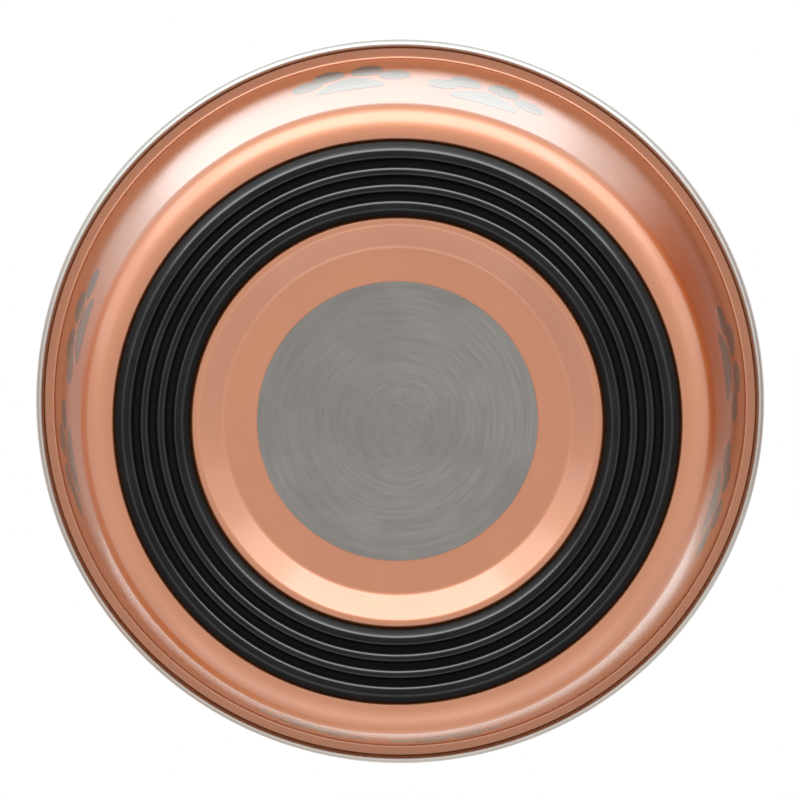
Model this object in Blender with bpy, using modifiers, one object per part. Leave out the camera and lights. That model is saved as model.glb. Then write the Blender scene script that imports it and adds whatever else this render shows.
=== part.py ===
"""A slow-feed pet bowl, turned about the Z axis, in metres with +Z up.

A copper-coloured pressed shell holds a bare steel liner. The liner has a hump in the middle, which
makes the trough that slows the eater down, and its rim is rolled over the shell's flange. A ribbed
rubber ring is glued into a channel under the shell, and a blank round label sits in the recess
inside it. The origin is the centre of the circle that the rubber ring stands on.
"""

import math

import bpy

# Overall sizes
RIM_DIAMETER = 0.2100
HEIGHT = 0.0620
BASE_DIAMETER = 0.1746  # where the straight wall would meet the plane of the shell's base

# Outer shell, a pressing whose sizes are those of its outer face
SHELL_SHEET = 0.0007
KNUCKLE_FILLET = 0.0100
FLANGE_WIDTH = 0.00245  # from the crease at the wall out to the step beside the rolled edge
FLANGE_FILLET = 0.0010
FLANGE_STEP = 0.0006  # how far the flange steps up there, to lie behind the rolled edge
FLANGE_STEP_RUN = 0.0005
FLANGE_STEP_BEND = 0.0002  # inside radius of the step's two bends
CHANNEL_BORDER = 0.0008  # from the start of the knuckle's curve in to the ring's channel
CHANNEL_DEPTH = 0.0012
CHANNEL_DRAFT = 0.0002
CHANNEL_FILLET = 0.0004
LIP_WIDTH = 0.0024
LIP_FILLET = 0.0024
RECESS_RUN = 0.0068  # radial run of the slope from the lip to the flat in the middle
RECESS_DEPTH = 0.0053
RECESS_FILLET = 0.0005

# Liner, nested in the shell
LINER_SHEET = 0.0008
NEST_GAP = 0.0003  # between the liner and the shell, at the walls and over the channel
LINER_KNUCKLE_FILLET = 0.0082
ROLL_RADIUS = 0.0029
ROLL_SKIRT = 0.0042  # straight drop of the rolled edge, below the roll
ROLL_TURN = math.radians(68)  # how far the skirt's lower edge turns in under the flange
ROLL_GAP = 0.0006  # from the flange's edge to the inside of the skirt
ROLL_CLEARANCE = 0.0010  # from the skirt's turned-in edge up to the flange
SEAM_GAP = 0.0004  # from that edge in to the flange's step
HUMP_HEIGHT = 0.0340
HUMP_FOOT_INSET = 0.0004  # from the channel's inner edge in to the foot of the hump
HUMP_FLANK_RUN = 0.0260
HUMP_FOOT_FILLET = 0.0050
HUMP_CROWN_FILLET = 0.0240

# Rubber ring
RIB_COUNT = 4
RIB_LAND = 0.0018
RIB_DRAFT = 0.0003
GROOVE_WIDTH = 0.0027
GROOVE_DEPTH = 0.0022
EDGE_BEVEL_RUN = 0.0024
EDGE_BEVEL_RISE = 0.0018
RING_PROUD = 0.0024  # how far the ring stands out below the shell's base
RING_FIT = 0.0003  # at the ring's two edges in the channel

# Glue film between the ring and the channel
FILM_THICKNESS = 0.0002
FILM_CLEARANCE = 0.00005
FILM_INSET = 0.0010

# Label
LABEL_BORDER = 0.0095  # from the edge of the recess's flat in to the label
LABEL_THICKNESS = 0.0003
LABEL_GAP = 0.0001

TURN_STEPS = 40
ARC_STEP = math.radians(22)
AXIS_MERGE = 0.00001

# Places that follow from the sizes above
rim_radius = RIM_DIAMETER / 2
roll_hollow = ROLL_RADIUS - LINER_SHEET
roll_centre_z = HEIGHT - ROLL_RADIUS
skirt_z = roll_centre_z - ROLL_SKIRT
roll_cut = roll_hollow * math.tan(ROLL_TURN / 2)
lip_corner_z = skirt_z - roll_cut
lip_end_r = rim_radius - LINER_SHEET - roll_cut * math.sin(ROLL_TURN)
lip_end_z = lip_corner_z - roll_cut * math.cos(ROLL_TURN)
flange_edge_r = rim_radius - LINER_SHEET - ROLL_GAP
flange_edge_z = lip_end_z + ROLL_CLEARANCE
step_outer_r = lip_end_r - SEAM_GAP
step_inner_r = step_outer_r - FLANGE_STEP_RUN
flange_z = flange_edge_z - FLANGE_STEP
crease_r = step_inner_r - FLANGE_WIDTH
base_z = RING_PROUD
base_corner_r = BASE_DIAMETER / 2
wall_lean = math.atan2(crease_r - base_corner_r, flange_z - base_z)
knuckle_start_r = base_corner_r - KNUCKLE_FILLET * math.tan((math.pi / 2 - wall_lean) / 2)

ring_width = RIB_COUNT * RIB_LAND + (RIB_COUNT - 1) * GROOVE_WIDTH + 2 * EDGE_BEVEL_RUN
ring_outer_r = knuckle_start_r - CHANNEL_BORDER - RING_FIT
ring_inner_r = ring_outer_r - ring_width
channel_outer_r = ring_outer_r + RING_FIT
channel_inner_r = ring_inner_r - RING_FIT
channel_z = base_z + CHANNEL_DEPTH
ring_top_z = channel_z - FILM_THICKNESS - 2 * FILM_CLEARANCE

lip_r = channel_inner_r - LIP_WIDTH
plateau_r = lip_r - RECESS_RUN
plateau_z = base_z + RECESS_DEPTH

nest_offset = (SHELL_SHEET + NEST_GAP) / math.cos(wall_lean)
liner_floor_z = channel_z + SHELL_SHEET + NEST_GAP
hump_foot_r = channel_inner_r - HUMP_FOOT_INSET
hump_top_r = hump_foot_r - HUMP_FLANK_RUN
hump_top_z = liner_floor_z + HUMP_HEIGHT


def shell_wall_r(z):
    """Radius of the shell's outer wall at a height, on its straight line."""
    return base_corner_r + (z - base_z) * math.tan(wall_lean)


def liner_wall_r(z):
    """Radius of the liner's hidden side at a height, parallel to the shell's wall."""
    return shell_wall_r(z) - nest_offset


def rounded(corners):
    """Points of a profile, from (r, z, fillet) corners: each fillet becomes an arc.

    Two fillets that don't fit on the straight between them are both made smaller.
    """
    count = len(corners)
    turns = [0.0] * count
    lengths = [math.dist(corners[i][:2], corners[i + 1][:2]) for i in range(count - 1)]
    for i in range(1, count - 1):
        before = math.atan2(corners[i][1] - corners[i - 1][1], corners[i][0] - corners[i - 1][0])
        after = math.atan2(corners[i + 1][1] - corners[i][1], corners[i + 1][0] - corners[i][0])
        turns[i] = math.remainder(after - before, 2 * math.pi)
    cuts = [corners[i][2] * math.tan(abs(turns[i]) / 2) for i in range(count)]
    for i, length in enumerate(lengths):
        total = cuts[i] + cuts[i + 1]
        if total > length:
            cuts[i] *= length / total
            cuts[i + 1] *= length / total
    points = []
    for i, (r, z, _) in enumerate(corners):
        if cuts[i] == 0:
            points.append((r, z))
            continue
        back = [(corners[i - 1][k] - corners[i][k]) / lengths[i - 1] for k in (0, 1)]
        turn = turns[i]
        radius = cuts[i] / math.tan(abs(turn) / 2)
        side = math.copysign(1, turn)
        start = (r + back[0] * cuts[i], z + back[1] * cuts[i])
        centre = (start[0] + side * radius * back[1], start[1] - side * radius * back[0])
        first = math.atan2(start[1] - centre[1], start[0] - centre[0])
        steps = max(2, math.ceil(abs(turn) / ARC_STEP))
        for step in range(steps + 1):
            angle = first + turn * step / steps
            points.append((centre[0] + radius * math.cos(angle), centre[1] + radius * math.sin(angle)))
    kept = [points[0]]
    for point in points[1:]:
        if math.dist(point, kept[-1]) > AXIS_MERGE:
            kept.append(point)
    return kept


def finish(name, colour, metallic, roughness):
    """A Principled material of one colour."""
    material = bpy.data.materials.new(name)
    material.use_nodes = True
    shader = material.node_tree.nodes["Principled BSDF"]
    shader.inputs["Base Color"].default_value = (*colour, 1)
    shader.inputs["Metallic"].default_value = metallic
    shader.inputs["Roughness"].default_value = roughness
    return material


def turned(name, profile, material, closed=False, sheet=0.0):
    """A profile turned about Z: a closed one as it is, or an open one thickened inwards to a sheet."""
    count = len(profile)
    edges = [(i, i + 1) for i in range(count - 1)]
    if closed:
        edges.append((count - 1, 0))
    mesh = bpy.data.meshes.new(name)
    mesh.from_pydata([(r, 0, z) for r, z in profile], edges, [])
    mesh.materials.append(material)
    piece = bpy.data.objects.new(name, mesh)
    parts.objects.link(piece)
    piece.parent = bowl_axis
    screw = piece.modifiers.new("Turn", "SCREW")
    screw.axis = "Z"
    screw.angle = 2 * math.pi
    screw.steps = TURN_STEPS
    screw.render_steps = TURN_STEPS
    screw.use_merge_vertices = True
    screw.merge_threshold = AXIS_MERGE
    screw.use_smooth_shade = True
    if sheet:
        thicken = piece.modifiers.new("Sheet", "SOLIDIFY")
        thicken.thickness = sheet
        thicken.offset = -1
        thicken.use_even_offset = True
        thicken.use_quality_normals = True
    return piece


def outer_shell():
    """Stepped flange, wall, knuckle, the ring's channel, and the recess with its flat middle."""
    corners = [
        (flange_edge_r, flange_edge_z, 0),
        (step_outer_r, flange_edge_z, FLANGE_STEP_BEND),
        (step_inner_r, flange_z, SHELL_SHEET + FLANGE_STEP_BEND),
        (crease_r, flange_z, FLANGE_FILLET),
        (base_corner_r, base_z, KNUCKLE_FILLET),
        (channel_outer_r + CHANNEL_DRAFT, base_z, CHANNEL_FILLET),
        (channel_outer_r, channel_z, CHANNEL_FILLET),
        (channel_inner_r, channel_z, CHANNEL_FILLET),
        (channel_inner_r - CHANNEL_DRAFT, base_z, CHANNEL_FILLET),
        (lip_r, base_z, LIP_FILLET),
        (plateau_r, plateau_z, RECESS_FILLET),
        (0, plateau_z, 0),
    ]
    material = finish("copper_finish", (0.62, 0.29, 0.18), 1.0, 0.25)
    turned("outer_shell", rounded(corners), material, sheet=SHELL_SHEET)


def inner_bowl():
    """The liner's hidden side: the rolled edge, the wall, the trough's floor and the hump."""
    top_z = HEIGHT - LINER_SHEET
    outer_r = rim_radius - LINER_SHEET
    corners = [
        (lip_end_r, lip_end_z, 0),
        (outer_r, lip_corner_z, roll_hollow),
        (outer_r, top_z, roll_hollow),
        (liner_wall_r(top_z), top_z, roll_hollow),
        (liner_wall_r(liner_floor_z), liner_floor_z, LINER_KNUCKLE_FILLET + LINER_SHEET),
        (hump_foot_r, liner_floor_z, HUMP_FOOT_FILLET + LINER_SHEET),
        (hump_top_r, hump_top_z, HUMP_CROWN_FILLET - LINER_SHEET),
        (0, hump_top_z, 0),
    ]
    material = finish("brushed_steel", (0.60, 0.59, 0.57), 1.0, 0.3)
    turned("inner_bowl", rounded(corners), material, sheet=LINER_SHEET)


def base_ring():
    """The rubber ring, from its top outer edge down and in across the ribs that it stands on."""
    profile = [
        (ring_outer_r, ring_top_z),
        (ring_outer_r, EDGE_BEVEL_RISE),
    ]
    land_r = ring_outer_r - EDGE_BEVEL_RUN
    for rib in range(RIB_COUNT):
        profile.append((land_r, 0))
        profile.append((land_r - RIB_LAND, 0))
        land_r -= RIB_LAND
        if rib < RIB_COUNT - 1:
            profile.append((land_r - RIB_DRAFT, GROOVE_DEPTH))
            profile.append((land_r - GROOVE_WIDTH + RIB_DRAFT, GROOVE_DEPTH))
            land_r -= GROOVE_WIDTH
    profile.append((ring_inner_r, EDGE_BEVEL_RISE))
    profile.append((ring_inner_r, ring_top_z))
    material = finish("black_rubber", (0.012, 0.012, 0.012), 0.0, 0.55)
    turned("base_ring", profile, material, closed=True)


def ring_adhesive():
    """The thin film of glue between the ring and the floor of its channel."""
    outer_r = ring_outer_r - FILM_INSET
    inner_r = ring_inner_r + FILM_INSET
    bottom_z = ring_top_z + FILM_CLEARANCE
    top_z = bottom_z + FILM_THICKNESS
    profile = [(outer_r, top_z), (outer_r, bottom_z), (inner_r, bottom_z), (inner_r, top_z)]
    material = finish("clear_glue", (0.55, 0.50, 0.38), 0.0, 0.5)
    turned("ring_adhesive", profile, material, closed=True)


def base_label():
    """The blank round label, stuck to the flat in the middle of the recess."""
    radius = plateau_r - LABEL_BORDER
    top_z = plateau_z - LABEL_GAP
    profile = [(0, top_z), (radius, top_z), (radius, top_z - LABEL_THICKNESS), (0, top_z - LABEL_THICKNESS)]
    material = finish("grey_foil", (0.25, 0.24, 0.22), 0.6, 0.45)
    turned("base_label", profile, material)


for old in list(bpy.data.objects):
    bpy.data.objects.remove(old)

parts = bpy.data.collections.new("slow_feed_bowl")
bpy.context.scene.collection.children.link(parts)
bowl_axis = bpy.data.objects.new("bowl_axis", None)
parts.objects.link(bowl_axis)

outer_shell()
inner_bowl()
base_ring()
ring_adhesive()
base_label()
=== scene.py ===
"""The looks of a slow-feed pet bowl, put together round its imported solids, in metres with +Z up."""

import math

import bmesh
import bpy
from mathutils import Matrix, Vector


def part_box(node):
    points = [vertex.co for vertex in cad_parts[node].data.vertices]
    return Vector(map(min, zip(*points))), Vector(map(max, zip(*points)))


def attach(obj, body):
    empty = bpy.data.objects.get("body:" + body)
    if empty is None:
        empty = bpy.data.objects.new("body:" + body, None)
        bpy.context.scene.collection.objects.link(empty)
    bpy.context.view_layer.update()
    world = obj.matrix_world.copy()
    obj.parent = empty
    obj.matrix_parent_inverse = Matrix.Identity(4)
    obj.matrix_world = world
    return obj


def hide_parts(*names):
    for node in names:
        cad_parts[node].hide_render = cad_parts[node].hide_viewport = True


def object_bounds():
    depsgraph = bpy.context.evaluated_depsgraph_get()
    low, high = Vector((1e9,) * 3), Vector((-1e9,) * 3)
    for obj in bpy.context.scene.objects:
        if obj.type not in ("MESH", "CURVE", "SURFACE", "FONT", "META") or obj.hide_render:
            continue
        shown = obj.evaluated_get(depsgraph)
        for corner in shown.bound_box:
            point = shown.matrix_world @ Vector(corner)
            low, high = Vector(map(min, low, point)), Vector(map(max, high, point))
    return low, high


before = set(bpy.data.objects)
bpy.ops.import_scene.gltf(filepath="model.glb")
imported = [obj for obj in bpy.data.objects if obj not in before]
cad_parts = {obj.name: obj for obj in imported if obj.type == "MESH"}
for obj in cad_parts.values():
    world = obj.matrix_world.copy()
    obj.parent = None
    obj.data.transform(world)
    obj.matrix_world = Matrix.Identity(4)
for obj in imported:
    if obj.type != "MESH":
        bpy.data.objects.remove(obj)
solid_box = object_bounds()


# Outer shell: one pressing of thin steel sheet with a satin copper-coloured finish and a clear coat.
# A stepped flange, a conical wall and a round knuckle lead down to the base, which has a channel for
# the rubber ring and a shallow recess with a flat middle. The liner's rim is rolled over the flange.
shell_low, shell_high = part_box("outer_shell")
ring_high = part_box("base_ring")[1]
SHELL_SHEET = 0.0007
FLANGE_TUCK = 0.0008  # width of the flange's edge behind the liner's rolled rim
FLANGE_STEP = 0.0004  # how far that edge steps up from the flange's face
FLANGE_STEP_RUN = 0.0005
FLANGE_STEP_BEND = 0.0002
FLANGE_WIDTH = 0.00275
CREASE_FILLET = 0.0010
BASE_CORNER_R = 0.0873
KNUCKLE_FILLET = 0.0090
RING_FIT = 0.0003  # room on either side of the rubber ring in its channel
RING_WIDTH = 0.0201
CHANNEL_DRAFT = 0.0005
CHANNEL_FILLET = 0.0015
CHANNEL_DEPTH = 0.0012
CHANNEL_FLOOR_FILLET = 0.0003
LIP_WIDTH = 0.0024
LIP_FILLET = 0.0015
SLOPE_RUN = 0.0068
PLATEAU_RISE = 0.0053
PLATEAU_FILLET = 0.0020
TURN_STEPS = 256
TURN_HEADS = [2 * math.pi * step / TURN_STEPS for step in range(TURN_STEPS)]
ARC_STEP = math.radians(4.5)
FEWEST_ARC_STEPS = 4
CUT_EDGE_STEPS = 8
STRAIGHT_STEP = 0.0040
STRAIGHT_GUARD = 0.0003  # points this close to an arc keep the straight beside it flat in the light
SHORTEST_SPLIT = 3 * STRAIGHT_GUARD  # a straight shorter than this gets no such points
WELD = 0.0000005

flange_edge_r = shell_high[0]
flange_edge_z = shell_high[2] - SHELL_SHEET
step_outer_r = flange_edge_r - FLANGE_TUCK
step_inner_r = step_outer_r - FLANGE_STEP_RUN
flange_z = flange_edge_z - FLANGE_STEP
crease_r = step_inner_r - FLANGE_WIDTH
base_z = shell_low[2]
channel_outer_r = ring_high[0] + RING_FIT
channel_inner_r = ring_high[0] - RING_WIDTH - RING_FIT
channel_z = base_z + CHANNEL_DEPTH
lip_r = channel_inner_r - LIP_WIDTH
plateau_r = lip_r - SLOPE_RUN
plateau_z = base_z + PLATEAU_RISE
wall_lean = math.atan2(crease_r - BASE_CORNER_R, flange_z - base_z)


def rounded(corners):
    """Section points through (radius, height, fillet) corners, with an arc at each fillet."""
    points = [Vector(corners[0][:2])]
    for before, corner, after in zip(corners, corners[1:], corners[2:]):
        here = Vector(corner[:2])
        fillet = corner[2]
        if fillet == 0:
            points.append(here)
            continue
        to_before = (Vector(before[:2]) - here).normalized()
        to_after = (Vector(after[:2]) - here).normalized()
        half = to_before.angle(to_after) / 2
        centre = here + (to_before + to_after).normalized() * fillet / math.sin(half)
        start = here + to_before * fillet / math.tan(half) - centre
        end = here + to_after * fillet / math.tan(half) - centre
        first = math.atan2(start.y, start.x)
        sweep = math.remainder(math.atan2(end.y, end.x) - first, 2 * math.pi)
        steps = max(FEWEST_ARC_STEPS, math.ceil(abs(sweep) / ARC_STEP))
        for step in range(steps + 1):
            angle = first + sweep * step / steps
            points.append(centre + fillet * Vector((math.cos(angle), math.sin(angle))))
    points.append(Vector(corners[-1][:2]))
    spaced = [points[0]]
    for start, end in zip(points, points[1:]):
        length = (end - start).length
        if length > SHORTEST_SPLIT:
            count = math.ceil(length / STRAIGHT_STEP)
            shares = [k / count for k in range(1, count)]
            for share in [STRAIGHT_GUARD / length, *shares, 1 - STRAIGHT_GUARD / length]:
                spaced.append(start.lerp(end, share))
        if length > WELD:
            spaced.append(end)
    return spaced


def sheet_section(face, sheet):
    """Section of a pressed sheet, from its outer face listed from the cut edge in to the axis."""
    other = []
    for i, point in enumerate(face):
        into = point - face[i - 1] if i else face[1] - face[0]
        onward = face[i + 1] - point if i < len(face) - 1 else into
        into = into.normalized()
        onward = onward.normalized()
        mean = (into + onward).normalized()
        other.append(point + Vector((mean.y, -mean.x)) * sheet / mean.dot(into))
    other[-1].x = 0
    along = (face[1] - face[0]).normalized()
    across = (other[0] - face[0]) / 2
    middle = (other[0] + face[0]) / 2
    cut_edge = []
    for step in range(1, CUT_EDGE_STEPS):
        angle = math.pi * step / CUT_EDGE_STEPS
        cut_edge.append(middle + across * math.cos(angle) - along * sheet / 2 * math.sin(angle))
    return other[::-1] + cut_edge + list(face)


def turned(name, section, closed=False):
    """A piece turned about the bowl's axis, from section points listed down its outer side."""
    verts = []
    rows = []
    for r, z in section:
        if r < WELD:
            rows.append([len(verts)] * TURN_STEPS)
            verts.append((0, 0, z))
        else:
            rows.append(range(len(verts), len(verts) + TURN_STEPS))
            verts.extend((r * math.cos(head), r * math.sin(head), z) for head in TURN_HEADS)
    if closed:
        rows.append(rows[0])
    faces = []
    for upper, lower in zip(rows, rows[1:]):
        for i in range(TURN_STEPS):
            j = (i + 1) % TURN_STEPS
            faces.append(tuple(dict.fromkeys((upper[i], lower[i], lower[j], upper[j]))))
    mesh = bpy.data.meshes.new(name)
    mesh.from_pydata(verts, [], faces)
    return in_scene(name, mesh)


def in_scene(name, mesh):
    """An object in the scene that shows a mesh with smooth faces."""
    mesh.shade_smooth()
    piece = bpy.data.objects.new(name, mesh)
    bpy.context.scene.collection.objects.link(piece)
    return piece


def placed(tree, kind, values=(), **settings):
    """A node with its settings, each input filled by a value or by another node's output."""
    node = tree.nodes.new(kind)
    for name, value in settings.items():
        setattr(node, name, value)
    for socket, value in dict(values).items():
        if isinstance(value, bpy.types.NodeSocket):
            tree.links.new(value, node.inputs[socket])
        else:
            node.inputs[socket].default_value = value
    return node


def math_of(tree, operation, first, second=0.0):
    """The result of one sum on two values."""
    return placed(tree, "ShaderNodeMath", {0: first, 1: second}, operation=operation).outputs[0]


def spread(tree, value, low, high, to_low, to_high):
    """A value moved from one range to another, smoothly and without running over."""
    ends = {"Value": value, 1: low, 2: high, 3: to_low, 4: to_high}
    return placed(tree, "ShaderNodeMapRange", ends, interpolation_type="SMOOTHSTEP").outputs[0]


def tone_between(tree, share, first, second):
    """A colour between two others, by a share from 0 to 1."""
    ends = {0: share, 6: first, 7: second}
    return placed(tree, "ShaderNodeMix", ends, data_type="RGBA").outputs[2]


def effect(name, inputs, outputs):
    """A new node group with value inputs and outputs, and its two end nodes."""
    tree = bpy.data.node_groups.new(name, "ShaderNodeTree")
    for label, value in inputs.items():
        socket = tree.interface.new_socket(label, in_out="INPUT", socket_type="NodeSocketFloat")
        socket.default_value = value
    for label in outputs:
        tree.interface.new_socket(label, in_out="OUTPUT", socket_type="NodeSocketFloat")
    return tree, tree.nodes.new("NodeGroupInput").outputs, tree.nodes.new("NodeGroupOutput").inputs


# Fine lines that run round the bowl, left by the spinning and polishing of the sheet.
CLIMB = 2.3  # what a step up the wall counts, against a step out from the axis
spun_lines, given, result = effect("spun_lines", {"Lines per metre": 5000.0, "Sweep": 3.0}, ["Line"])
place = placed(spun_lines, "ShaderNodeTexCoord").outputs["Object"]
part_xyz = placed(spun_lines, "ShaderNodeSeparateXYZ", {0: place}).outputs
flat = placed(spun_lines, "ShaderNodeCombineXYZ", {0: part_xyz[0], 1: part_xyz[1]}).outputs[0]
radius = placed(spun_lines, "ShaderNodeVectorMath", {0: flat}, operation="LENGTH").outputs["Value"]
heading = placed(spun_lines, "ShaderNodeVectorMath", {0: flat}, operation="NORMALIZE").outputs[0]
swept = placed(
    spun_lines, "ShaderNodeVectorMath", {0: heading, "Scale": given["Sweep"]}, operation="SCALE"
).outputs[0]
reach = math_of(spun_lines, "ADD", radius, math_of(spun_lines, "MULTIPLY", part_xyz[2], CLIMB))
count = math_of(spun_lines, "MULTIPLY", reach, given["Lines per metre"])
raised = placed(spun_lines, "ShaderNodeCombineXYZ", {2: count}).outputs[0]
where = placed(spun_lines, "ShaderNodeVectorMath", {0: swept, 1: raised}, operation="ADD").outputs[0]
line = placed(spun_lines, "ShaderNodeTexNoise", {"Vector": where, "Scale": 1.0, "Detail": 3.0})
spun_lines.links.new(line.outputs[0], result["Line"])

# Marks of handling: soft smudges, and hairline scratches that come and go.
SMUDGE_SPAN = (0.32, 0.70)
SCRATCHED_SPAN = (0.52, 0.62)
HAIRLINE = 0.004
handling, given, result = effect(
    "handling_marks", {"Smudges per metre": 30.0, "Scratches per metre": 60.0}, ["Smudge", "Scratch"]
)
place = placed(handling, "ShaderNodeTexCoord").outputs["Object"]
cloud = placed(
    handling, "ShaderNodeTexNoise", {"Vector": place, "Scale": given["Smudges per metre"], "Detail": 4.0}
).outputs[0]
handling.links.new(spread(handling, cloud, *SMUDGE_SPAN, 0.0, 1.0), result["Smudge"])
wander = placed(
    handling, "ShaderNodeTexNoise",
    {"Vector": place, "Scale": given["Scratches per metre"], "Detail": 1.0, "Distortion": 1.4},
).outputs[0]
off_line = math_of(handling, "ABSOLUTE", math_of(handling, "SUBTRACT", wander, 0.5))
hairline = spread(handling, off_line, 0.0, HAIRLINE, 1.0, 0.0)
scratch = math_of(handling, "MULTIPLY", hairline, spread(handling, cloud, *SCRATCHED_SPAN, 0.0, 1.0))
handling.links.new(scratch, result["Scratch"])

shell_face = rounded([
    (flange_edge_r, flange_edge_z, 0),
    (step_outer_r, flange_edge_z, FLANGE_STEP_BEND),
    (step_inner_r, flange_z, SHELL_SHEET + FLANGE_STEP_BEND),
    (crease_r, flange_z, CREASE_FILLET),
    (BASE_CORNER_R, base_z, KNUCKLE_FILLET),
    (channel_outer_r + CHANNEL_DRAFT, base_z, CHANNEL_FILLET),
    (channel_outer_r, channel_z, CHANNEL_FLOOR_FILLET),
    (channel_inner_r, channel_z, CHANNEL_FLOOR_FILLET),
    (channel_inner_r - CHANNEL_DRAFT, base_z, CHANNEL_FILLET),
    (lip_r, base_z, LIP_FILLET),
    (plateau_r, plateau_z, PLATEAU_FILLET),
    (0, plateau_z, 0),
])
outer_shell = turned("outer_shell_copper", sheet_section(shell_face, SHELL_SHEET))

COPPER_CLEAN = (0.585, 0.193, 0.062, 1)
COPPER_SMUDGED = (0.555, 0.178, 0.055, 1)
# darker tone of the flange: painted shade of the recess under the liner's rolled rim
COPPER_FLANGE_SHADED = (0.465, 0.163, 0.057, 1)
COPPER_ROUGHNESS = (0.48, 0.52)  # clean, smudged
COPPER_GRAIN = (-0.02, 0.03)  # what the spun lines take from the roughness and add to it
UNPOLISHED_ROUGHNESS = 0.08
UNPOLISHED_COAT = 0.7
SCRATCH_ROUGHNESS = 0.1
CLEAR_COAT_ROUGHNESS = 0.20
CLEAR_COAT_IOR = 2.15
GRAIN_SPAN = (0.3, 0.7)  # where nearly all of a line's or a pore's values lie


def new_finish(name):
    """A new material, with its node tree and the inputs of its shader."""
    material = bpy.data.materials.new(name)
    material.use_nodes = True
    return material, material.node_tree, material.node_tree.nodes["Principled BSDF"].inputs


def spun_roughness(tree, marks, lines, smudged, grained):
    """The roughness of a spun sheet, from its smudges, its fine lines and its scratches."""
    smear = spread(tree, marks["Smudge"], 0.0, 1.0, *smudged)
    grain = spread(tree, lines["Line"], *GRAIN_SPAN, *grained)
    scratched = math_of(tree, "MULTIPLY", marks["Scratch"], SCRATCH_ROUGHNESS)
    return math_of(tree, "ADD", math_of(tree, "ADD", smear, grain), scratched)


copper, tree, shader = new_finish("satin_copper")
marks = placed(tree, "ShaderNodeGroup", {}, node_tree=handling).outputs
lines = placed(tree, "ShaderNodeGroup", {}, node_tree=spun_lines).outputs
place = placed(tree, "ShaderNodeTexCoord").outputs["Object"]
height = placed(tree, "ShaderNodeSeparateXYZ", {0: place}).outputs[2]
# The flange and its step, from just below the crease outwards: a rougher finish with less clear coat, and a
# darker tone that is painted shade of the recess under the rolled rim.
unpolished_and_shaded = spread(tree, height, flange_z - CREASE_FILLET / 10, flange_z - CREASE_FILLET / 40, 0.0, 1.0)
polished_tone = tone_between(tree, marks["Smudge"], COPPER_CLEAN, COPPER_SMUDGED)
tone = tone_between(tree, unpolished_and_shaded, polished_tone, COPPER_FLANGE_SHADED)
tree.links.new(tone, shader["Base Color"])
worn = spun_roughness(tree, marks, lines, COPPER_ROUGHNESS, COPPER_GRAIN)
dulled = math_of(tree, "MULTIPLY", unpolished_and_shaded, UNPOLISHED_ROUGHNESS)
tree.links.new(math_of(tree, "ADD", worn, dulled), shader["Roughness"])
tree.links.new(spread(tree, unpolished_and_shaded, 0.0, 1.0, 1.0, UNPOLISHED_COAT), shader["Coat Weight"])
shader["Metallic"].default_value = 1.0
shader["Coat Roughness"].default_value = CLEAR_COAT_ROUGHNESS
shader["Coat IOR"].default_value = CLEAR_COAT_IOR
outer_shell.data.materials.append(copper)

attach(outer_shell, "root")
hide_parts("outer_shell")


# Paw marks: four pairs round the wall, where the copper finish was etched away to the bare steel.
# Each has four toes towards the rim and one broad pad. They lie under the shell's clear coat, and
# stand out by no more than a film.
PAW_RAISE = 0.00003
PAW_SINK = 0.00012
PAW_PAIRS = 4
PAW_POINTS = 48
PAW_RINGS = (0.35, 0.7, 0.93, 1.0)
PAW_SHARP = math.radians(30)
FIRST_PAW = (math.radians(-8.3), 0.0337)  # turn from the front, and height up the wall's slope
SECOND_PAW = (math.radians(15.2), 0.0277)
TOES = (  # across, up, half width, half height, tilt
    (-0.0123, 0.0012, 0.0045, 0.0046, math.radians(14)),
    (-0.0060, 0.0066, 0.0045, 0.0052, math.radians(6)),
    (0.0050, 0.0072, 0.0045, 0.0053, math.radians(-8)),
    (0.0128, 0.0016, 0.0045, 0.0047, math.radians(-16)),
)
TOE_TAPER = 0.12
PAD_DROP = 0.0058
PAD_HALF_WIDTH = 0.0098
PAD_HALF_HEIGHT = 0.0058
PAD_TAPER = 0.22
PAD_FLATTENING = 0.2
ETCHED_DARK = (0.16, 0.135, 0.11, 1)
ETCHED_LIGHT = (0.31, 0.275, 0.235, 1)
ETCHED_STREAK_SPAN = (0.38, 0.62)
ETCHED_ROUGHNESS = (0.30, 0.40)
ETCHED_COAT = 0.7
LINE_DEPTH = 0.0001


def wall_place(turn, slope, proud):
    """A point on the shell's wall: turned from the front, up along the slope, and proud of the face."""
    r = BASE_CORNER_R + slope * math.sin(wall_lean) + proud * math.cos(wall_lean)
    z = base_z + slope * math.cos(wall_lean) - proud * math.sin(wall_lean)
    return (r * math.sin(turn), -r * math.cos(turn), z)


def toe_outline(across, up, half_width, half_height, tilt):
    """Outline of a toe as points (across, up), a little narrower towards the rim."""
    points = []
    for step in range(PAW_POINTS):
        angle = 2 * math.pi * step / PAW_POINTS
        x = half_width * math.cos(angle) * (1 - TOE_TAPER * math.sin(angle))
        y = half_height * math.sin(angle)
        points.append((
            across + x * math.cos(tilt) - y * math.sin(tilt),
            up + x * math.sin(tilt) + y * math.cos(tilt),
        ))
    return points


def pad_outline():
    """Outline of the broad pad: a rounded triangle with a nearly flat lower edge."""
    points = []
    for step in range(PAW_POINTS):
        angle = 2 * math.pi * step / PAW_POINTS
        x = PAD_HALF_WIDTH * math.cos(angle) * (1 - PAD_TAPER * math.sin(angle))
        y = PAD_HALF_HEIGHT * (math.sin(angle) - PAD_FLATTENING * math.cos(2 * angle))
        points.append((x, y - PAD_DROP))
    return points


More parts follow.
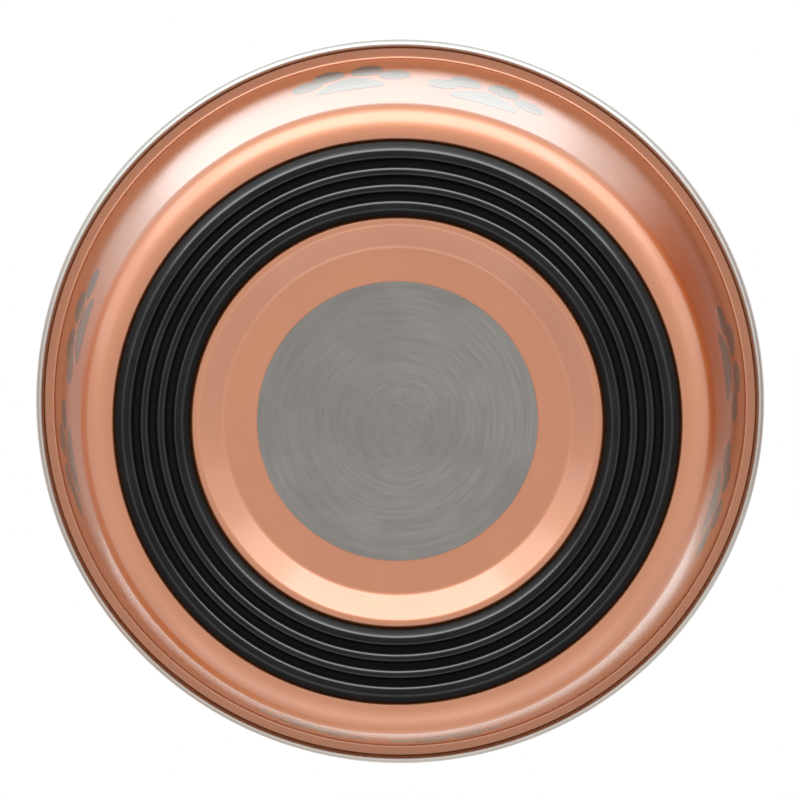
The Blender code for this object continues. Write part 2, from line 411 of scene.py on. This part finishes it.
def add_etched(form, outline, turn, slope):
    """One closed etched patch on the wall, its face in rings and its back sunk into the sheet."""
    middle_x = sum(x for x, y in outline) / len(outline)
    middle_y = sum(y for x, y in outline) / len(outline)
    wall_r = BASE_CORNER_R + slope * math.sin(wall_lean)

    def ring(share, proud):
        verts = []
        for x, y in outline:
            across = middle_x + (x - middle_x) * share
            up = middle_y + (y - middle_y) * share
            verts.append(form.verts.new(wall_place(turn + across / wall_r, slope + up, proud)))
        return verts

    def centre(proud):
        return form.verts.new(wall_place(turn + middle_x / wall_r, slope + middle_y, proud))

    rings = [ring(share, PAW_RAISE) for share in PAW_RINGS]
    rings += [ring(share, -PAW_SINK) for share in PAW_RINGS[::-1]]
    for inner, outer in zip(rings, rings[1:]):
        for i in range(PAW_POINTS):
            j = (i + 1) % PAW_POINTS
            form.faces.new((inner[i], outer[i], outer[j], inner[j]))
    for hub, edge in ((centre(PAW_RAISE), rings[0]), (centre(-PAW_SINK), rings[-1])):
        for i in range(PAW_POINTS):
            form.faces.new((hub, edge[i], edge[(i + 1) % PAW_POINTS]))


form = bmesh.new()
for pair in range(PAW_PAIRS):
    for turn, slope in (FIRST_PAW, SECOND_PAW):
        turn += 2 * math.pi * pair / PAW_PAIRS
        for toe in TOES:
            add_etched(form, toe_outline(*toe), turn, slope)
        add_etched(form, pad_outline(), turn, slope)
bmesh.ops.recalc_face_normals(form, faces=form.faces[:])
paw_mesh = bpy.data.meshes.new("paw_marks")
form.to_mesh(paw_mesh)
form.free()
paw_marks = in_scene("paw_marks", paw_mesh)
paw_mesh.set_sharp_from_angle(angle=PAW_SHARP)

etched, tree, shader = new_finish("etched_steel")
etched_lines = {"Lines per metre": 1300.0, "Sweep": 5.0}
lines = placed(tree, "ShaderNodeGroup", etched_lines, node_tree=spun_lines).outputs
streak = spread(tree, lines["Line"], *ETCHED_STREAK_SPAN, 0.0, 1.0)
tree.links.new(tone_between(tree, streak, ETCHED_DARK, ETCHED_LIGHT), shader["Base Color"])
tree.links.new(spread(tree, lines["Line"], *GRAIN_SPAN, *ETCHED_ROUGHNESS), shader["Roughness"])
relief = placed(tree, "ShaderNodeBump", {"Height": lines["Line"], "Strength": 0.04, "Distance": LINE_DEPTH})
tree.links.new(relief.outputs[0], shader["Normal"])
shader["Metallic"].default_value = 1.0
shader["Coat Weight"].default_value = ETCHED_COAT
shader["Coat Roughness"].default_value = CLEAR_COAT_ROUGHNESS
shader["Coat IOR"].default_value = CLEAR_COAT_IOR
paw_marks.data.materials.append(etched)

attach(paw_marks, "root")


# Liner: drawn and spun stainless steel, nested in the shell. The round hump in the middle leaves a
# trough for the food, and the rim is rolled outwards and down over the shell's flange.
liner_low, liner_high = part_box("inner_bowl")
LINER_SHEET = 0.0008
NEST_GAP = 0.0003
LINER_KNUCKLE_FILLET = 0.0082
ROLL_RADIUS = 0.0029
ROLL_SKIRT = 0.0042  # straight drop of the rolled edge, below the roll
ROLL_TURN = math.radians(56)
HUMP_HEIGHT = 0.0340
HUMP_FOOT_STEP = 0.0004  # from the channel's inner edge in to the foot of the hump
HUMP_SLOPE_RUN = 0.0260
HUMP_FOOT_FILLET = 0.0050
HUMP_CROWN_FILLET = 0.0240
STEEL_CLEAN = (0.56, 0.54, 0.51, 1)
STEEL_SMUDGED = (0.51, 0.49, 0.46, 1)
STEEL_ROUGHNESS = (0.31, 0.38)  # clean, smudged
STEEL_GRAIN = (-0.05, 0.06)
INSIDE_SATIN = 0.20  # roughness that the inside has more than the polished rim

roll_hollow = ROLL_RADIUS - LINER_SHEET
roll_outer_r = liner_high[0] - LINER_SHEET
roll_top_z = liner_high[2] - LINER_SHEET
roll_cut = roll_hollow * math.tan(ROLL_TURN / 2)
roll_corner_z = liner_high[2] - ROLL_RADIUS - ROLL_SKIRT - roll_cut
liner_floor_z = liner_low[2]
hump_top_z = liner_floor_z + HUMP_HEIGHT
hump_foot_r = channel_inner_r - HUMP_FOOT_STEP
hump_top_r = hump_foot_r - HUMP_SLOPE_RUN
nest_offset = (SHELL_SHEET + NEST_GAP) / math.cos(wall_lean)


def liner_wall_r(z):
    """Radius of the liner's hidden side, parallel to the shell's wall."""
    return BASE_CORNER_R + (z - base_z) * math.tan(wall_lean) - nest_offset


liner_face = rounded([
    (roll_outer_r - roll_cut * math.sin(ROLL_TURN), roll_corner_z - roll_cut * math.cos(ROLL_TURN), 0),
    (roll_outer_r, roll_corner_z, roll_hollow),
    (roll_outer_r, roll_top_z, roll_hollow),
    (liner_wall_r(roll_top_z), roll_top_z, roll_hollow),
    (liner_wall_r(liner_floor_z), liner_floor_z, LINER_KNUCKLE_FILLET + LINER_SHEET),
    (hump_foot_r, liner_floor_z, HUMP_FOOT_FILLET + LINER_SHEET),
    (hump_top_r, hump_top_z, HUMP_CROWN_FILLET - LINER_SHEET),
    (0, hump_top_z, 0),
])
inner_bowl = turned("inner_bowl_steel", sheet_section(liner_face, LINER_SHEET))

steel, tree, shader = new_finish("spun_steel")
steel_marks = {"Smudges per metre": 22.0, "Scratches per metre": 45.0}
steel_lines = {"Lines per metre": 3200.0, "Sweep": 2.0}
marks = placed(tree, "ShaderNodeGroup", steel_marks, node_tree=handling).outputs
lines = placed(tree, "ShaderNodeGroup", steel_lines, node_tree=spun_lines).outputs
tree.links.new(tone_between(tree, marks["Smudge"], STEEL_CLEAN, STEEL_SMUDGED), shader["Base Color"])
worn = spun_roughness(tree, marks, lines, STEEL_ROUGHNESS, STEEL_GRAIN)
place = placed(tree, "ShaderNodeTexCoord").outputs["Object"]
height = placed(tree, "ShaderNodeSeparateXYZ", {0: place}).outputs[2]
satin = spread(tree, height, roll_corner_z - 2 * ROLL_SKIRT, roll_corner_z, INSIDE_SATIN, 0.0)
tree.links.new(math_of(tree, "ADD", worn, satin), shader["Roughness"])
relief = placed(tree, "ShaderNodeBump", {"Height": lines["Line"], "Strength": 0.12, "Distance": LINE_DEPTH})
tree.links.new(relief.outputs[0], shader["Normal"])
shader["Metallic"].default_value = 1.0
inner_bowl.data.materials.append(steel)

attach(inner_bowl, "root")
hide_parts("inner_bowl")


# Glue film: a thin layer of cured contact glue, yellowish and uneven, between the channel and the ring.
# It was brushed on before the ring was pressed in, and the ring hides it.
GLUE_PALE = (0.55, 0.50, 0.38, 1)
GLUE_BROWN = (0.42, 0.35, 0.22, 1)
GLUE_ROUGHNESS = (0.35, 0.6)

glue, tree, shader = new_finish("cured_glue")
marks = placed(tree, "ShaderNodeGroup", {"Smudges per metre": 120.0}, node_tree=handling).outputs
tree.links.new(tone_between(tree, marks["Smudge"], GLUE_PALE, GLUE_BROWN), shader["Base Color"])
tree.links.new(spread(tree, marks["Smudge"], 0.0, 1.0, *GLUE_ROUGHNESS), shader["Roughness"])
ring_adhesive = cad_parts["ring_adhesive"]
ring_adhesive.data.materials.clear()
ring_adhesive.data.materials.append(glue)


# Rubber ring: moulded black rubber with four ribs, which the bowl stands on, so that it doesn't slide.
# It is glued into the channel under the shell, and its edges are bevelled down to the copper.
RIB_COUNT = 4
RIB_LAND = 0.0022
RIB_DRAFT = 0.0003
RIB_FILLET = 0.00118
GROOVE_WIDTH = 0.00243
GROOVE_DEPTH = 0.0023
GROOVE_FILLET = 0.0009
OUTER_BEVEL_RUN = 0.0022
INNER_BEVEL_RUN = 0.0018
EDGE_BEVEL_RISE = 0.0018
EDGE_FILLET = 0.0014
TOP_FILLET = 0.0002
RING_SQUEEZE = 0.0002  # how far the soft edges swell into the room in the channel
RUBBER_BLACK = (0.0025, 0.0025, 0.0025, 1)
RUBBER_DUSTY = (0.006, 0.006, 0.0063, 1)
RUBBER_ROUGHNESS = (0.55, 0.36)  # grooves, crests
CREST_SPAN = (0.0006, 0.0013)  # heights above the lands over which a crest turns into a groove
PORES_PER_METRE = 2600.0
PORE_ROUGHNESS = (-0.04, 0.04)
PORE_DEPTH = 0.00005
LAND_SPAN = (0.00002, 0.00010)  # heights over which the worn land turns into the shoulder
MOULD_SKIN = (0.12, 0.60)  # how much of the smooth skin is left on a land and on a shoulder
SKIN_END_SPAN = (0.00030, 0.00065)  # heights over which the skin gives way to matt rubber

ring_outer_r = ring_high[0]
ring_top_z = ring_high[2]
ribs_width = RIB_COUNT * RIB_LAND + (RIB_COUNT - 1) * GROOVE_WIDTH
ring_inner_r = ring_outer_r - OUTER_BEVEL_RUN - ribs_width - INNER_BEVEL_RUN
ring_middle_r = (ring_outer_r + ring_inner_r) / 2
ring_corners = [
    (ring_middle_r, ring_top_z, 0),
    (ring_outer_r + RING_SQUEEZE, ring_top_z, TOP_FILLET),
    (ring_outer_r + RING_SQUEEZE, EDGE_BEVEL_RISE, EDGE_FILLET),
]
land_r = ring_outer_r - OUTER_BEVEL_RUN
for rib in range(RIB_COUNT):
    ring_corners.append((land_r, 0, RIB_FILLET))
    ring_corners.append((land_r - RIB_LAND, 0, RIB_FILLET))
    land_r -= RIB_LAND
    if rib < RIB_COUNT - 1:
        ring_corners.append((land_r - RIB_DRAFT, GROOVE_DEPTH, GROOVE_FILLET))
        ring_corners.append((land_r - GROOVE_WIDTH + RIB_DRAFT, GROOVE_DEPTH, GROOVE_FILLET))
        land_r -= GROOVE_WIDTH
ring_corners += [
    (ring_inner_r - RING_SQUEEZE, EDGE_BEVEL_RISE, EDGE_FILLET),
    (ring_inner_r - RING_SQUEEZE, ring_top_z, TOP_FILLET),
    (ring_middle_r, ring_top_z, 0),
]
base_ring = turned("base_ring_rubber", rounded(ring_corners)[:-1], closed=True)

rubber, tree, shader = new_finish("black_rubber")
rubber_marks = {"Smudges per metre": 55.0, "Scratches per metre": 90.0}
marks = placed(tree, "ShaderNodeGroup", rubber_marks, node_tree=handling).outputs
place = placed(tree, "ShaderNodeTexCoord").outputs["Object"]
pore_grain = {"Vector": place, "Scale": PORES_PER_METRE, "Detail": 2.0}
pores = placed(tree, "ShaderNodeTexNoise", pore_grain).outputs[0]
height = placed(tree, "ShaderNodeSeparateXYZ", {0: place}).outputs[2]
crest = spread(tree, height, *CREST_SPAN, 1.0, 0.0)
dust = math_of(tree, "MULTIPLY", crest, marks["Smudge"])
tree.links.new(tone_between(tree, dust, RUBBER_BLACK, RUBBER_DUSTY), shader["Base Color"])
matt = spread(tree, crest, 0.0, 1.0, *RUBBER_ROUGHNESS)
pitted = spread(tree, pores, *GRAIN_SPAN, *PORE_ROUGHNESS)
tree.links.new(math_of(tree, "ADD", matt, pitted), shader["Roughness"])
relief = placed(tree, "ShaderNodeBump", {"Height": pores, "Strength": 0.1, "Distance": PORE_DEPTH})
tree.links.new(relief.outputs[0], shader["Normal"])
unworn = spread(tree, height, *LAND_SPAN, *MOULD_SKIN)
skin = math_of(tree, "MULTIPLY", unworn, spread(tree, height, *SKIN_END_SPAN, 1.0, 0.0))
tree.links.new(skin, shader["Coat Weight"])
shader["Coat Roughness"].default_value = 0.20
shader["Specular IOR Level"].default_value = 0.1
base_ring.data.materials.append(rubber)

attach(base_ring, "root")
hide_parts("base_ring")


# Label: a blank round of matt grey foil with a spun grain. It is punched from a sheet with glue on its
# back, and stuck to the flat middle of the recess.
label_low, label_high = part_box("base_label")
LABEL_EDGE_FILLET = 0.00012
FOIL_DARK = (0.168, 0.154, 0.140, 1)
FOIL_LIGHT = (0.274, 0.251, 0.230, 1)
FOIL_RUB = (0.7, 1.2)  # how strongly the grain shows where the foil is clean and where it is smudged
FOIL_ROUGHNESS = (0.42, 0.58)

label_r = label_high[0]
base_label = turned("base_label_foil", rounded([
    (0, label_high[2], 0),
    (label_r, label_high[2], LABEL_EDGE_FILLET),
    (label_r, label_low[2], LABEL_EDGE_FILLET),
    (0, label_low[2], 0),
]))

foil, tree, shader = new_finish("grey_foil")
foil_marks = {"Smudges per metre": 45.0, "Scratches per metre": 80.0}
foil_lines = {"Lines per metre": 1400.0, "Sweep": 2.5}
marks = placed(tree, "ShaderNodeGroup", foil_marks, node_tree=handling).outputs
lines = placed(tree, "ShaderNodeGroup", foil_lines, node_tree=spun_lines).outputs
rub = math_of(tree, "MULTIPLY", lines["Line"], spread(tree, marks["Smudge"], 0.0, 1.0, *FOIL_RUB))
tree.links.new(tone_between(tree, rub, FOIL_DARK, FOIL_LIGHT), shader["Base Color"])
tree.links.new(spread(tree, lines["Line"], *GRAIN_SPAN, *FOIL_ROUGHNESS), shader["Roughness"])
relief = placed(tree, "ShaderNodeBump", {"Height": lines["Line"], "Strength": 0.12, "Distance": LINE_DEPTH})
tree.links.new(relief.outputs[0], shader["Normal"])
shader["Metallic"].default_value = 0.35
base_label.data.materials.append(foil)

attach(base_label, "root")
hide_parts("base_label")


# Floor: a plain pale sweep that the bowl stands on. It shows from above, with the bowl's shadow, and
# is open from below, so that the underside can be looked at.
FLOOR_HALF = 5.0
FLOOR_PALE = (0.82, 0.82, 0.82, 1)

floor_corners = [(x * FLOOR_HALF, y * FLOOR_HALF, 0) for x, y in ((-1, -1), (1, -1), (1, 1), (-1, 1))]
floor_mesh = bpy.data.meshes.new("floor")
floor_mesh.from_pydata(floor_corners, [], [(0, 1, 2, 3)])
floor = bpy.data.objects.new("floor", floor_mesh)
bpy.context.scene.collection.objects.link(floor)

pale = bpy.data.materials.new("pale_floor")
pale.use_nodes = True
tree = pale.node_tree
tree.nodes.clear()
path = placed(tree, "ShaderNodeLightPath").outputs
behind = placed(tree, "ShaderNodeNewGeometry").outputs["Backfacing"]
shown = math_of(tree, "MULTIPLY", path["Is Camera Ray"], math_of(tree, "SUBTRACT", 1.0, behind))
matt_floor = placed(tree, "ShaderNodeBsdfDiffuse", {"Color": FLOOR_PALE}).outputs[0]
open_floor = placed(tree, "ShaderNodeBsdfTransparent").outputs[0]
floor_mix = placed(tree, "ShaderNodeMixShader", {0: shown, 1: open_floor, 2: matt_floor}).outputs[0]
placed(tree, "ShaderNodeOutputMaterial", {"Surface": floor_mix})
floor_mesh.materials.append(pale)


# Table: the pale table that the bowl lies on, rim down, in the picture. Only its mirror in the outer wall
# shows. It is no lamp but glows with painted light and shade: bright towards the light, and dim and
# copper-tinted where it carries a painted shadow of the bowl.
TABLE_INNER_R = 0.1095
TABLE_OUTER_R = 0.60
TABLE_LIFT = 0.0005
TABLE_PAINTED_TONES = (  # turn from the front, colour of the painted light and shade that the wall mirrors low down
    (-180, (1.00, 0.84, 0.72)),
    (-140, (0.62, 0.28, 0.12)),
    (-110, (0.64, 0.40, 0.30)),
    (-85, (0.66, 0.38, 0.31)),
    (-50, (1.00, 0.90, 0.84)),
    (40, (0.84, 0.50, 0.38)),
    (65, (0.40, 0.10, 0.04)),
    (98, (0.40, 0.15, 0.07)),
    (120, (1.00, 0.95, 0.88)),
    (145, (0.80, 0.60, 0.48)),
    (180, (1.00, 0.84, 0.72)),
)
LIGHT_SIDE = math.radians(-7)  # turn from the front to the middle of the brightly lit stretch
LIT_SPAN = (math.radians(43), math.radians(66))  # from that middle, where the lit stretch ends
WALL_REACH = (0.020, 0.028)  # rays shorter than this, from the wall beside the flange, miss the table
RIM_SHADE_SPAN = (0.109, 0.117)  # radii over which the painted shade beside the rim ends
RIM_SHADE_TURN = (math.radians(100), math.radians(130))  # turns from the front, where the painted shade turns into a painted glow
RIM_PAINTED_SHADE = (0.45, 1.5)  # strength of the painted shade beside the rim at the front, and of the painted glow at the back

table_z = solid_box[1][2] + TABLE_LIFT
table_verts = []
for r in (TABLE_INNER_R, TABLE_OUTER_R):
    table_verts.extend((r * math.cos(head), r * math.sin(head), table_z) for head in TURN_HEADS)
table_faces = []
for i in range(TURN_STEPS):
    j = (i + 1) % TURN_STEPS
    table_faces.append((i, j, j + TURN_STEPS, i + TURN_STEPS))
table_mesh = bpy.data.meshes.new("table")
table_mesh.from_pydata(table_verts, [], table_faces)
table = bpy.data.objects.new("table", table_mesh)
for ray in ("camera", "diffuse", "transmission", "volume_scatter", "shadow"):
    setattr(table, "visible_" + ray, False)
bpy.context.scene.collection.objects.link(table)

mirrored_table_painted_light = bpy.data.materials.new("mirrored_table_painted_light")
mirrored_table_painted_light.use_nodes = True
tree = mirrored_table_painted_light.node_tree
tree.nodes.clear()
place = placed(tree, "ShaderNodeTexCoord").outputs["Object"]
part_xyz = placed(tree, "ShaderNodeSeparateXYZ", {0: place}).outputs
away = math_of(tree, "MULTIPLY", part_xyz[1], -1.0)
turn = math_of(tree, "ARCTAN2", part_xyz[0], away)
share = placed(tree, "ShaderNodeMapRange", {"Value": turn, 1: -math.pi, 2: math.pi}).outputs[0]
tones = placed(tree, "ShaderNodeValToRGB", {0: share})
stops = tones.color_ramp.elements
for degrees, _ in TABLE_PAINTED_TONES[1:-1]:
    stops.new(degrees / 360 + 0.5)
for stop, (degrees, colour) in zip(stops, TABLE_PAINTED_TONES):
    stop.position = degrees / 360 + 0.5
    stop.color = (*colour, 1)
flat = placed(tree, "ShaderNodeCombineXYZ", {0: part_xyz[0], 1: part_xyz[1]}).outputs[0]
radius = placed(tree, "ShaderNodeVectorMath", {0: flat}, operation="LENGTH").outputs["Value"]
# painted shade close to the rim at the front, and a painted glow there at the back
rim_painted_shade = spread(tree, math_of(tree, "ABSOLUTE", turn), *RIM_SHADE_TURN, *RIM_PAINTED_SHADE)
shade = spread(tree, radius, *RIM_SHADE_SPAN, rim_painted_shade, 1.0)
# the table glows with these painted tones, though it is no lamp
glow = placed(tree, "ShaderNodeEmission", {"Color": tones.outputs[0], "Strength": shade}).outputs[0]
open_table = placed(tree, "ShaderNodeBsdfTransparent").outputs[0]
off_light = math_of(tree, "ABSOLUTE", math_of(tree, "SUBTRACT", turn, LIGHT_SIDE))
ray_length = placed(tree, "ShaderNodeLightPath").outputs["Ray Length"]
from_wall = spread(tree, ray_length, *WALL_REACH, 0.0, 1.0)
shaded = math_of(tree, "MULTIPLY", from_wall, spread(tree, off_light, *LIT_SPAN, 0.0, 1.0))
table_mix = placed(tree, "ShaderNodeMixShader", {0: shaded, 1: open_table, 2: glow}).outputs[0]
placed(tree, "ShaderNodeOutputMaterial", {"Surface": table_mix})
table_mesh.materials.append(mirrored_table_painted_light)


# Studio: white surroundings, two strip lights overhead, and soft lights low at the front, its sides
# and the back. The surroundings are white to look at, a little dimmer in a mirror, most of all right
# below the bowl, and dimmer still as light. One more front light is flagged off all but the rubber.
MIRRORED_WHITE = (0.95, 0.82)  # all round, and right below
BELOW_BOWL = (0.0, 0.06, -0.998)
BELOW_SPAN = (math.cos(math.radians(30)), math.cos(math.radians(6)))
FILL_WHITE = (0.85, 0.45)  # from below, from above
HORIZON_SPAN = (-0.2, 0.2)
DAYLIGHT = (0.92, 1.0, 1.04)
NEUTRAL = (1.0, 1.0, 1.0)
LIGHT_AIM = Vector((0, 0, 0.03))

studio = bpy.data.worlds.new("studio")
bpy.context.scene.world = studio
studio.use_nodes = True
tree = studio.node_tree
tree.nodes.clear()
path = placed(tree, "ShaderNodeLightPath").outputs
outlook = placed(tree, "ShaderNodeTexCoord").outputs["Generated"]
up = placed(tree, "ShaderNodeSeparateXYZ", {0: outlook}).outputs[2]
below = placed(
    tree, "ShaderNodeVectorMath", {0: outlook, 1: BELOW_BOWL}, operation="DOT_PRODUCT"
).outputs["Value"]
mirrored = spread(tree, below, *BELOW_SPAN, *MIRRORED_WHITE)
fill = spread(tree, up, *HORIZON_SPAN, *FILL_WHITE)
is_mirror = math_of(tree, "MAXIMUM", path["Is Glossy Ray"], path["Is Transmission Ray"])
lit = placed(tree, "ShaderNodeMix", {0: is_mirror, 2: fill, 3: mirrored}, data_type="FLOAT").outputs[0]
looked_at = {0: path["Is Camera Ray"], 2: lit, 3: 1.0}
seen = placed(tree, "ShaderNodeMix", looked_at, data_type="FLOAT").outputs[0]
backdrop = placed(tree, "ShaderNodeBackground", {"Color": (1, 1, 1, 1), "Strength": seen}).outputs[0]
placed(tree, "ShaderNodeOutputWorld", {"Surface": backdrop})


def soft_light(name, spot, width, length, brightness, colour=DAYLIGHT):
    """A flat light that faces the bowl and is as bright as a sheet of that radiance."""
    lamp = bpy.data.lights.new(name, "AREA")
    lamp.shape = "RECTANGLE"
    lamp.color = colour
    lamp.size = width
    lamp.size_y = length
    lamp.energy = brightness * math.pi * width * length
    holder = bpy.data.objects.new(name, lamp)
    holder.location = spot
    holder.rotation_euler = (LIGHT_AIM - Vector(spot)).to_track_quat("-Z", "Y").to_euler()
    holder.visible_camera = False
    bpy.context.scene.collection.objects.link(holder)
    return holder


soft_light("strip_front", (-0.07, -0.48, 1.00), 0.92, 0.55, 1.5)
soft_light("strip_back", (0, 0.38, 1.06), 0.84, 0.30, 1.6)
soft_light("front_low", (0, -0.948, -0.328), 3.00, 1.10, 0.9)
soft_light("front_left", (-0.810, -0.506, -0.328), 0.90, 1.00, 0.45)
soft_light("front_right", (0.810, -0.506, -0.328), 0.90, 1.00, 0.35)
soft_light("front_core", (0, -0.943, -0.327), 1.40, 0.70, 1.4)
soft_light("back_low", (0, 0.900, -0.436), 1.40, 0.50, 0.25)
soft_light("back_under", (0, 0.766, -0.613), 1.40, 0.60, 0.22)
ring_light = soft_light("ring_glint", (0, -0.930, -0.322), 2.60, 1.10, 5.5, NEUTRAL)
lit_ring = bpy.data.collections.new("lit_ring")
lit_ring.objects.link(base_ring)
ring_light.light_linking.receiver_collection = lit_ring


# Camera: a long lens that looks up at the bowl's underside, six degrees off the bowl's axis.
# The bowl's front, where most of the wall shows, is at the top of the picture.
CAMERA_TILT = math.radians(6)
CAMERA_SIDE = math.radians(0.8)
CAMERA_TARGET = (0, -0.0006, 0.059)
CAMERA_DISTANCE = 1.5
CAMERA_LENS = 233.4

back = Vector((math.sin(CAMERA_SIDE), -math.sin(CAMERA_TILT), -math.cos(CAMERA_TILT))).normalized()
view = bpy.data.cameras.new("photo_view")
view.lens = CAMERA_LENS
view.sensor_width = 36
view.clip_start = 0.05
view.clip_end = 60
camera = bpy.data.objects.new("photo_view", view)
camera.location = Vector(CAMERA_TARGET) + back * CAMERA_DISTANCE
picture_up = back.cross(Vector((1, 0, 0))).normalized()
camera.rotation_euler = Matrix((picture_up.cross(back), picture_up, back)).transposed().to_euler()
bpy.context.scene.collection.objects.link(camera)
bpy.context.scene.camera = camera
bpy.context.scene.view_settings.view_transform = "Standard"
